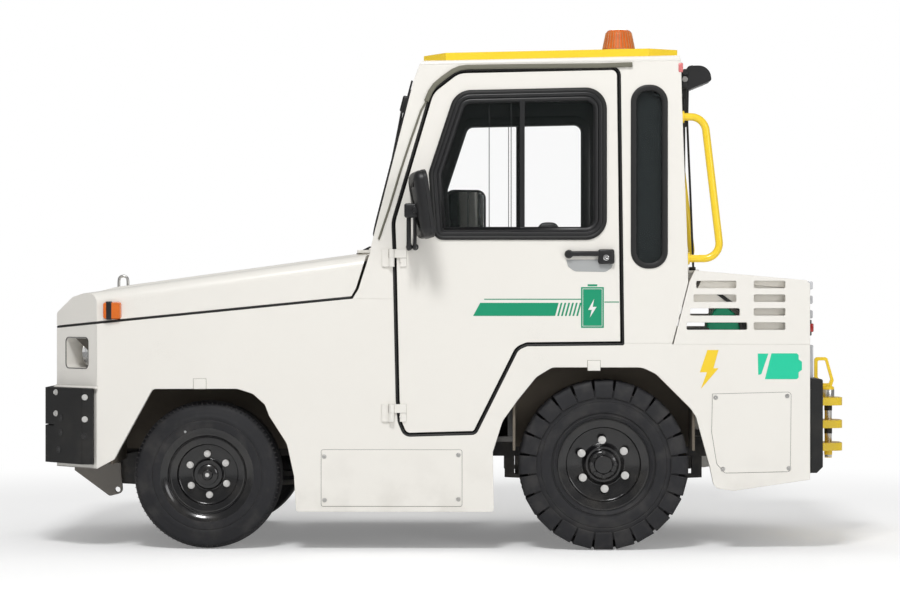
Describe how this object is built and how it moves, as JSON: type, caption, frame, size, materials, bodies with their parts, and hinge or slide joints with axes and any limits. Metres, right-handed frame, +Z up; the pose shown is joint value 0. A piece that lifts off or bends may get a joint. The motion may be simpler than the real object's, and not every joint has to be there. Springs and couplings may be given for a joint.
{
  "type": "airport baggage tug",
  "caption": "Electric tow tractor with a closed cab, sloping hood, wrap-round rubber bumper, rubber-tyred wheels and a stepped pin hitch for towing baggage carts.",
  "frame": {"origin": "on the ground under the middle of the bounding box", "axes": "+X to the rear, so the front faces -X; -Y is the driver's left; +Z up"},
  "size_m": [3.274, 1.8894, 2.134],
  "materials": {
    "body_paint": "cream white gloss paint",
    "yellow_paint": "safety yellow gloss paint",
    "frame_black": "black chassis paint",
    "well_black": "black underseal",
    "floor_black": "black floor paint",
    "battery_case": "grey steel case",
    "rim_black": "black gloss paint",
    "tyre_rubber": "matt black rubber",
    "bumper_rubber": "black moulded rubber",
    "black_plastic": "grained black plastic",
    "window_glass": "clear safety glass",
    "lamp_lens": "clear lens",
    "amber_lens": "amber lens",
    "seat_vinyl": "black vinyl",
    "pin_steel": "bare steel"
  },
  "bodies": {
    "chassis": {"chassis_frame": "frame_black", "battery_block": "battery_case", "front_axle": "frame_black", "rear_axle": "frame_black", "leaf_springs": "frame_black", "nose": "body_paint", "body_sides": "body_paint", "wheel_wells": "well_black", "cab_floor": "floor_black", "cab_sides": "body_paint", "cab_front": "body_paint", "cab_back": "body_paint", "cab_roof": "body_paint", "roof_plate": "yellow_paint", "cab_glass": "window_glass", "rear_sides": "body_paint", "rear_panel": "body_paint", "bumpers": "bumper_rubber", "headlamps": "lamp_lens", "rear_lamps": "black_plastic", "beacon": "amber_lens", "grab_handles": "yellow_paint", "dashboard": "black_plastic", "steering": "black_plastic", "seat_pads": "seat_vinyl", "hitch": "yellow_paint"},
    "hood": {"hood": "body_paint", "indicators": "amber_lens"},
    "door_left": {"door_left": "body_paint", "door_glass_left": "window_glass", "door_fittings_left": "black_plastic"},
    "door_right": {"door_right": "body_paint", "door_glass_right": "window_glass", "door_fittings_right": "black_plastic"},
    "rear_lid": {"rear_lid": "body_paint"},
    "hitch_pin": {"hitch_pin": "pin_steel"},
    "knuckle_left": {"knuckle_left": "frame_black"},
    "knuckle_right": {"knuckle_right": "frame_black"},
    "tie_rod": {"tie_rod": "frame_black"},
    "front_wheel_left": {"front_rim_left": "rim_black", "front_tyre_left": "tyre_rubber"},
    "front_wheel_right": {"front_rim_right": "rim_black", "front_tyre_right": "tyre_rubber"},
    "rear_wheel_left": {"rear_rim_left": "rim_black", "rear_tyre_left": "tyre_rubber"},
    "rear_wheel_right": {"rear_rim_right": "rim_black", "rear_tyre_right": "tyre_rubber"}
  },
  "joints": [
    {"name": "hood_hinge", "type": "hinge", "parent": "chassis", "child": "hood", "pos_m": [-0.329, 0, 1.196], "axis": [0, 1, 0], "range_deg": [0, 45]},
    {"name": "door_left_hinge", "type": "hinge", "parent": "chassis", "child": "door_left", "pos_m": [-0.233, -0.732, 0.85], "axis": [0, 0, -1], "range_deg": [0, 70]},
    {"name": "door_right_hinge", "type": "hinge", "parent": "chassis", "child": "door_right", "pos_m": [-0.233, 0.732, 0.85], "axis": [0, 0, 1], "range_deg": [0, 70]},
    {"name": "rear_lid_hinge", "type": "hinge", "parent": "chassis", "child": "rear_lid", "pos_m": [0.957, 0, 1.11558], "axis": [0, -1, 0], "range_deg": [0, 70]},
    {"name": "hitch_pin_slide", "type": "slide", "parent": "chassis", "child": "hitch_pin", "axis": [0, 0, 1], "range_m": [0, 0.2]},
    {"name": "steer_left", "type": "hinge", "parent": "chassis", "child": "knuckle_left", "pos_m": [-0.97, -0.47, 0.295], "axis": [0, 0, 1], "range_deg": [-35, 35]},
    {"name": "steer_right", "type": "hinge", "parent": "chassis", "child": "knuckle_right", "pos_m": [-0.97, 0.47, 0.295], "axis": [0, 0, 1], "range_deg": [-35, 35]},
    {"name": "tie_rod_pivot", "type": "hinge", "parent": "knuckle_left", "child": "tie_rod", "pos_m": [-0.8, -0.47, 0.276], "axis": [0, 0, 1], "range_deg": [-35, 35]},
    {"name": "front_wheel_left_spin", "type": "hinge", "parent": "knuckle_left", "child": "front_wheel_left", "pos_m": [-0.97, -0.587, 0.295], "axis": [0, 1, 0], "continuous": true},
    {"name": "front_wheel_right_spin", "type": "hinge", "parent": "knuckle_right", "child": "front_wheel_right", "pos_m": [-0.97, 0.587, 0.295], "axis": [0, 1, 0], "continuous": true},
    {"name": "rear_wheel_left_spin", "type": "hinge", "parent": "chassis", "child": "rear_wheel_left", "pos_m": [0.605, -0.605, 0.338], "axis": [0, 1, 0], "continuous": true},
    {"name": "rear_wheel_right_spin", "type": "hinge", "parent": "chassis", "child": "rear_wheel_right", "pos_m": [0.605, 0.605, 0.338], "axis": [0, 1, 0], "continuous": true}
  ],
  "couplings": [
    {"joint": "steer_right", "follows": "steer_left", "ratio": 1},
    {"joint": "tie_rod_pivot", "follows": "steer_left", "ratio": -1}
  ]
}
